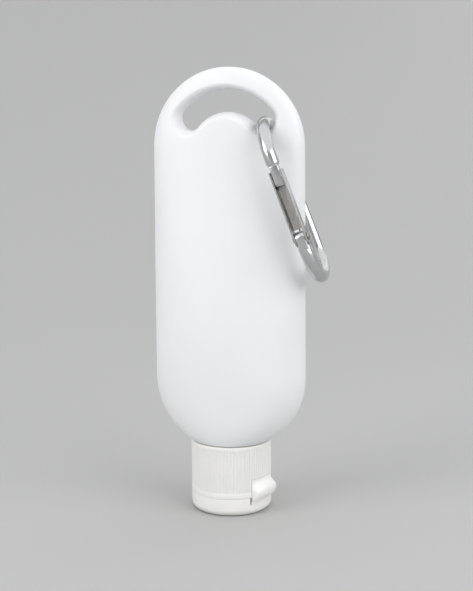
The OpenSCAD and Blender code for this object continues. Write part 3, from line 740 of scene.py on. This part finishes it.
def makeRibs():
    core, half = cap["radius"] - cap["rib"] - rib["sink"], rib["width"] / 2
    radii = (core, core + rib["foot"], rib["tip"] - rib["edge"], rib["tip"])
    side = [(r, half * share) for r, share in zip(radii, rib["shares"])]
    section = [(r, -y) for r, y in side] + side[::-1]
    rows = [cap["bandTop"] - rib["overlap"], cap["upperBand"] + rib["overlap"]]
    ribs = addPiece("cap_ribs", [(x, y, z) for z in rows for x, y in section], closedStrips(1, len(section)))
    cleanMesh(ribs)
    smoothMesh(ribs, angle=60)
    runTree(ribs, ribTree(), {"Ribs": rib["count"], "First angle": 0.0, "Material": warmPlastic})
    cutAway(ribs, [makeRecess()])
    return ribs


dress(makeRibs(), warmPlastic, "cap", "cap_plastic")
print("cap made")


lid = {"height": 5.5, "edge": 2.2, "end": 1.2, "endRings": (0, 4, 8), "inner": 10.85, "innerEdge": 0.6,
       "rimRound": 0.15, "pin": 1.35, "pinTip": 1.05, "pinZ": 2.6, "pinReach": 1.6, "pinFillet": 0.3,
       "pinEdge": 0.15, "flatLow": 3.9, "slotWidth": 0.5, "slotDepth": 2.2, "slotTop": 12, "slotOut": 15,
       "tabSpan": 57, "tabOut": 2, "tabEdge": 4.5, "tabArch": 0.8, "tabTop": 11, "tabFall": 1.5,
       "tabFade": 8, "tabIn": 11.37, "tabRoot": 0.45, "tabUnder": 0.4, "tabDrop": 0.05, "tabSteps": 96,
       "tabFine": 4,
       "tabShares": [(0, 0), (0.1, 0.1), (0.2, 0.34), (0.32, 0.65), (0.44, 0.91), (0.56, 1), (0.68, 0.98),
                     (0.8, 0.91), (0.91, 0.77), (1, 0.62)]}


def lidProfile():
    r, pin, pinTop = cap["radius"], lid["pin"], lid["pinZ"] + lid["pinReach"]
    outer = [(ring, 0) for ring in lid["endRings"]] + corner(r, 0, lid["edge"], -90, 0, 14)
    outer += [(r, lid["flatLow"] - hair), (r, lid["flatLow"])]
    outer += corner(r, lid["height"], cap["lipRound"], 0, 90, 4)
    outer += corner(lid["inner"], lid["height"], lid["rimRound"], 90, 180, 4)
    inner = corner(lid["inner"], lid["end"], lid["innerEdge"], 0, -90, 6)
    inner += [(pin + lid["pinFillet"], lid["end"]), (pin, lid["end"] + lid["pinFillet"]), (pin, lid["pinZ"]),
              (lid["pinTip"], pinTop - lid["pinEdge"]), (lid["pinTip"] - lid["pinEdge"], pinTop), (0, pinTop)]
    return outer + inner


def curveThrough(points, steps):
    # an even curve through the tab's chosen places
    p = [points[0]] + list(points) + [points[-1]]
    made = []
    for i in range(1, len(p) - 2):
        for s in range(steps):
            t = s / steps
            made.append(tuple(0.5 * (2 * p[i][c] + (p[i + 1][c] - p[i - 1][c]) * t
                                     + (2 * p[i - 1][c] - 5 * p[i][c] + 4 * p[i + 1][c] - p[i + 2][c]) * t * t
                                     + (3 * p[i][c] - p[i - 1][c] - 3 * p[i + 1][c] + p[i + 2][c]) * t ** 3)
                              for c in (0, 1)))
    return made + [tuple(points[-1])]


def makeTab():
    # a bulge that fades upwards and at both ends, with a sharp lower edge and a hollow under it
    r, under, points = cap["radius"], lid["tabEdge"] - lid["tabUnder"], []
    shares = curveThrough(lid["tabShares"], lid["tabFine"])
    for i in range(lid["tabSteps"] + 1):
        t = 2 * i / lid["tabSteps"] - 1
        out = lid["tabOut"] * (1 - abs(t) ** lid["tabFade"])
        top = lid["tabTop"] - lid["tabFall"] * t * t
        drop = top - lid["tabEdge"] - lid["tabArch"] * (1 - t * t)
        section = [(lid["tabIn"], lid["tabTop"]), (r, lid["tabTop"])]
        section += [(r + out * share, top - drop * fall - lid["tabDrop"]) for fall, share in shares]
        section += [(r - lid["tabRoot"], under), (lid["tabIn"], under)]
        for q, z in section:
            a = t * (math.radians(lid["tabSpan"] / 2) - math.asin(lid["slotWidth"] / 2 / q))
            points.append((q * math.cos(a), q * math.sin(a), z))
    tab = addPiece("tab", turned(points, cap["turn"]), closedStrips(lid["tabSteps"], len(section)))
    cleanMesh(tab)
    return tab


def makeSlot(side):
    near, far, half = cap["recess"], lid["slotOut"], lid["slotWidth"] / 2
    points = [(x, y, z) for z in (lid["height"] - lid["slotDepth"], lid["slotTop"])
              for x, y in ((near, -half), (far, -half), (far, half), (near, half))]
    slot = addPiece("slot", turned(points, cap["turn"] + side * lid["tabSpan"] / 2), closedStrips(1, 4))
    cleanMesh(slot)
    return slot


points, faces = spin(lidProfile(), cap["steps"])
cup = addPiece("cup", turnAndFlatten(points, lid["flatLow"] - hair / 2, lid["height"] + hair), faces)
cleanMesh(cup)
cutAway(cup, [makeSlot(-1), makeSlot(1)])
capLid = joinPieces("cap_lid_cup", [cup, makeTab()])
smoothMesh(capLid, angle=38)
dress(capLid, warmPlastic, "lid", "cap_plastic", "cap_lid")


film = {"width": 7, "thick": 0.3, "groove": 0.12, "grooveWidth": 0.35, "low": 4.05, "high": 7.05,
        "seam": 5.55, "bend": 0.45, "steps": 24}


def makeFilm():
    # a strip over the two flats, with a groove along the seam; two points per height at each side edge
    points, faces, n = [], [], film["steps"] + 1
    for y in (-film["width"] / 2, film["width"] / 2):
        for i in range(n):
            z = between(film["low"], film["high"], i, film["steps"])
            thin = film["groove"] * math.exp(-((z - film["seam"]) / film["grooveWidth"]) ** 2)
            points += [(-cap["flat"], y, z), (-cap["flat"] - film["thick"] + thin, y, z)]
    for i in range(n - 1):
        a, b = 2 * i, 2 * (n + i)
        faces += [[a, a + 2, b + 2, b], [a + 1, b + 1, b + 3, a + 3], [a, a + 1, a + 3, a + 2],
                  [b, b + 2, b + 3, b + 1]]
    last = 2 * n - 2
    faces += [[0, 2 * n, 2 * n + 1, 1], [last, last + 1, last + 2 * n + 1, last + 2 * n]]
    strip = addPiece("hinge_strip", turned(points, cap["turn"]), faces)
    cleanMesh(strip)
    smoothMesh(strip, angle=40)
    return strip


hingeStrip = makeFilm()
hingeStrip.data.materials.append(warmPlastic)
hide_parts("hinge_film")
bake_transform(hingeStrip)
print("lid made")


clip = {"rod": 2.0, "noseY": -11.1, "spineY": 7.9, "noseBend": 11.3, "spineBend": 6.5, "height": 47.2,
        "noseZ": -13.3, "legZ": -37.2, "rivetZ": -34.7, "chamfer": 1.0, "noseThick": 2.6, "noseWidth": 3.0,
        "noseLength": 6, "tongueThick": 2.8, "tongueLap": 1, "innerY": -9.7, "plateEdge": 0.25, "sides": 48,
        "chamferRings": [(-0.98, 0.66), (-0.1, 0.97), (0.08, 1.0)]}


def rodTree():
    # a round section swept along the path, thinned by the attribute thick
    sockets = [("Rod radius", "Float"), ("Sides", "Int"), ("Material", "Material")]
    tree, given, out = newTree("rodAlongPath", sockets)
    path = tree.nodes.new("GeometryNodeMeshToCurve")
    tree.links.new(given.outputs["Geometry"], path.inputs["Mesh"])
    thick = tree.nodes.new("GeometryNodeInputNamedAttribute")
    thick.data_type = "FLOAT"
    thick.inputs["Name"].default_value = "thick"
    section = tree.nodes.new("GeometryNodeCurvePrimitiveCircle")
    tree.links.new(given.outputs["Rod radius"], section.inputs["Radius"])
    tree.links.new(given.outputs["Sides"], section.inputs["Resolution"])
    tube = tree.nodes.new("GeometryNodeCurveToMesh")
    tree.links.new(path.outputs[0], tube.inputs["Curve"])
    tree.links.new(section.outputs[0], tube.inputs["Profile Curve"])
    tree.links.new(thick.outputs["Attribute"], tube.inputs["Scale"])
    tube.inputs["Fill Caps"].default_value = True
    endTree(tree, tube.outputs[0], given.outputs["Material"], out)
    return tree


rodAlongPath = rodTree()


def makeRod(name, path, thick, radius, sides, material):
    rod = addPiece(name, hung(path), [], [(i, i + 1) for i in range(len(path) - 1)])
    layer = rod.data.attributes.new("thick", "FLOAT", "POINT")
    layer.data.foreach_set("value", [float(t) for t in thick])
    runTree(rod, rodAlongPath, {"Rod radius": radius * mm, "Sides": sides, "Material": material})
    cleanMesh(rod, mergeGap=0.001)
    return rod


def framePath():
    # from the chamfered nose over the top, down the spine, round the foot and up to the hinge tongue,
    # with a small gap between each stretch and the next; a chamfer ring is (height, share of the radius)
    y0, y1, tip, rings = clip["noseY"], clip["spineY"], clip["noseZ"] + clip["chamfer"], clip["chamferRings"]
    foot = (y1 - y0) / 2
    footZ = foot - clip["height"]
    path = [(y0, tip + up) for up, share in rings]
    path += [(y0, z) for z in np.linspace(tip + 0.3, -clip["noseBend"] - 0.05, 3)]
    path += arc(y0 + clip["noseBend"], -clip["noseBend"], clip["noseBend"], 180, 90, 40)
    path += arc(y1 - clip["spineBend"], -clip["spineBend"], clip["spineBend"], 90, 0, 32)
    path += [(y1, z) for z in np.linspace(-clip["spineBend"] - 1, footZ + 1, 16)]
    path += arc((y0 + y1) / 2, footZ, foot, 0, -180, 72)
    path += [(y0, z) for z in np.linspace(footZ + 0.3, clip["legZ"], 4)]
    thick = [share for up, share in rings] + [1.0] * (len(path) - len(rings))
    return [(0, y, z) for y, z in path], thick


def makePlate(name, outline, thick):
    # an outline in the carabiner's plane, given its thickness across it and rounded edges
    points = [(side * thick / 2, y, z) for side in (-1, 1) for y, z in outline]
    plate = addPiece(name, hung(points), closedStrips(1, len(outline)))
    cleanMesh(plate)
    soften(plate, clip["plateEdge"])
    return plate


def soften(piece, edge, angle=40):
    modifier = piece.modifiers.new("edges", "BEVEL")
    modifier.width, modifier.segments = edge * mm, 3
    modifier.limit_method, modifier.angle_limit = "ANGLE", math.radians(angle)
    modifier.use_clamp_overlap = True
    applyModifiers(piece)


def roundEnded(y, roundZ, top, width):
    half = width / 2
    return [(y + half, top), (y - half, top)] + arc(y, roundZ, half, 180, 360, 24)


path, thick = framePath()
rod = makeRod("rod", path, thick, clip["rod"], clip["sides"], rodMetal)
noseOutline = roundEnded(clip["innerY"] - clip["noseWidth"] / 2,
                         clip["noseZ"] - clip["noseLength"] + clip["noseWidth"] / 2,
                         clip["noseZ"] + clip["chamfer"] / 2, clip["noseWidth"])
nose = makePlate("nose", noseOutline, clip["noseThick"])
tongueFoot = clip["legZ"] - clip["tongueLap"]
tongueOutline = [(clip["noseY"] - clip["rod"], tongueFoot), (clip["noseY"] + clip["rod"], tongueFoot)]
tongueOutline += arc(clip["noseY"], clip["rivetZ"], clip["rod"], 0, 180, 24)
tongue = makePlate("tongue", tongueOutline, clip["tongueThick"])
carabinerRod = joinPieces("carabiner_rod", [rod, nose, tongue])
smoothMesh(carabinerRod, angle=35)
dress(carabinerRod, rodMetal, "carabiner", "rod_metal", "carabiner_frame")


def softenedCopy(node, name, edge):
    # a merged copy of a CAD node, with its flat faces whole again and its edges rounded
    bm = bmesh.new()
    bm.from_mesh(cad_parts[node].data)
    bmesh.ops.remove_doubles(bm, verts=bm.verts, dist=0.002 * mm)
    bmesh.ops.dissolve_limit(bm, angle_limit=math.radians(1), verts=bm.verts, edges=bm.edges)
    mesh = bpy.data.meshes.new(name)
    bm.to_mesh(mesh)
    bm.free()
    copy = bpy.data.objects.new(name, mesh)
    bpy.context.scene.collection.objects.link(copy)
    soften(copy, edge)
    smoothMesh(copy, angle=35)
    return copy


gateChannel = softenedCopy("carabiner_gate", "gate_channel", edge=0.06)
dress(gateChannel, gateMetal, "gate", "gate_metal", "carabiner_gate")


rivet = {"shank": 0.9, "head": 1.2, "headHeight": 0.6, "headRim": 0.25, "edge": 0.05, "gateHalf": 1.9,
         "steps": 40}


def makeRivet():
    # shank and two domed heads, turned about the carabiner's X
    h, w, r, e, rim = rivet["headHeight"], rivet["gateHalf"], rivet["head"], rivet["edge"], rivet["headRim"]
    turns = np.linspace(0, math.pi / 2, 9)
    dome = [(r * math.cos(a), w + h * (rim + (1 - rim) * math.sin(a))) for a in turns]
    half = [(rivet["shank"], w), (r - e, w), (r, w + e)] + dome[:-1] + [(0, w + h)]
    profile = [(radius, -x) for radius, x in half[::-1]] + half
    points, faces = spin(profile, rivet["steps"])
    points = [(z, clip["noseY"] + x, clip["rivetZ"] + y) for x, y, z in points]
    pin = addPiece("rivet_pin", hung(points), faces)
    cleanMesh(pin)
    smoothMesh(pin, angle=40)
    return pin


dress(makeRivet(), pinSteel, "gate", "rivet_metal", "gate_rivet")


spring = {"radius": 0.25, "y": -8.83, "z": -32.1, "length": 6, "lowY": -9.53, "lowZ": -33.5, "bow": 0.02,
          "sides": 12, "fit": 0.96}


def makeSpring():
    # from the tongue up to the gate, then along the inner side of its floor
    y, z, lowY, lowZ = spring["y"], spring["z"], spring["lowY"], spring["lowZ"]
    path = [(0, lowY + (y - lowY) * t, lowZ + (z - lowZ) * t) for t in np.linspace(0, 0.9, 6)]
    path += [(0, y - spring["bow"] * (1 - t), z + spring["length"] * t) for t in np.linspace(0.04, 1, 24)]
    radius = spring["radius"] * spring["fit"]
    wire = makeRod("spring_wire", path, [1.0] * len(path), radius, spring["sides"], pinSteel)
    smoothMesh(wire, angle=50)
    return wire


springWire = makeSpring()
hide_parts("gate_spring")
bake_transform(springWire)
print("carabiner made")


for node, material in (("lotion_fill", lotionCream), ("neck_liner", linerFoam)):
    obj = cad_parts[node]
    obj.data.materials.clear()
    obj.data.materials.append(material)


stage = {"inner": 130, "flat": 260, "rise": 1100, "end": -12, "riseSteps": 40, "steps": 96,
         "colour": (0.44, 0.44, 0.432), "rough": 0.75, "gloss": 0.2}
lights = {
    "keyLight": {"place": (-0.58, -0.68, 0.3), "size": (0.6, 0.7), "power": 5.9},
    "sideLight": {"place": (0.76, -0.3, 0.25), "size": (0.8, 0.9), "power": 6.5},
    "backLight": {"place": (0.3, 0.8, 0.25), "size": (0.8, 0.8), "power": 1.1},
}
studio = {"aim": (0, 0, 0.07), "world": (0.92, 0.93, 0.95, 1), "strength": 1.15}


def makeFloor():
    # a pale round floor that curves up early and evenly into its own backdrop
    profile = [(0, 0), (stage["inner"], 0)]
    profile += arc(stage["flat"], stage["rise"], stage["rise"], -90, stage["end"], stage["riseSteps"])
    points, faces = spin(profile, stage["steps"])
    floor = addPiece("floor", points, faces)
    floor.data.shade_smooth()
    material, _, shader = newMaterial("paleFloor", stage["colour"], stage["rough"])
    shader.inputs["Specular IOR Level"].default_value = stage["gloss"]
    floor.data.materials.append(material)


def softbox(name, place, size, power):
    data = bpy.data.lights.new(name, "AREA")
    data.shape, data.size, data.size_y, data.energy = "RECTANGLE", size[0], size[1], power
    light = bpy.data.objects.new(name, data)
    light.location = place
    light.rotation_mode = "QUATERNION"
    light.rotation_quaternion = (Vector(studio["aim"]) - Vector(place)).to_track_quat("-Z", "Y")
    bpy.context.scene.collection.objects.link(light)


makeFloor()
for name, values in lights.items():
    softbox(name, **values)
world = bpy.data.worlds.new("studio")
bpy.context.scene.world = world
world.use_nodes = True
world.node_tree.nodes["Background"].inputs["Color"].default_value = studio["world"]
world.node_tree.nodes["Background"].inputs["Strength"].default_value = studio["strength"]
bpy.context.scene.view_settings.view_transform = "Standard"


camera = {"azimuth": 18.0, "elevation": 9.99, "roll": -0.48, "distance": 385.1, "focal": 1288.9,
          "target": (2.07, 0, 65.35), "frame": 591, "sensor": 36.0, "clip": (0.01, 10)}


def makeCamera():
    a, e, roll = (math.radians(camera[key]) for key in ("azimuth", "elevation", "roll"))
    back = Vector((math.sin(a) * math.cos(e), -math.cos(a) * math.cos(e), math.sin(e)))
    right = Vector((math.cos(a), math.sin(a), 0))
    up = Vector((-math.sin(a) * math.sin(e), math.cos(a) * math.sin(e), math.cos(e)))
    turnedRight = right * math.cos(roll) + up * math.sin(roll)
    turnedUp = up * math.cos(roll) - right * math.sin(roll)
    data = bpy.data.cameras.new("camera")
    data.sensor_width = camera["sensor"]
    data.lens = camera["focal"] * camera["sensor"] / camera["frame"]
    data.clip_start, data.clip_end = camera["clip"]
    obj = bpy.data.objects.new("camera", data)
    obj.rotation_mode = "QUATERNION"
    obj.rotation_quaternion = Matrix((turnedRight, turnedUp, back)).transposed().to_quaternion()
    obj.location = Vector(camera["target"]) * mm + back * camera["distance"] * mm
    bpy.context.scene.collection.objects.link(obj)
    bpy.context.scene.camera = obj


makeCamera()

print("scene made")
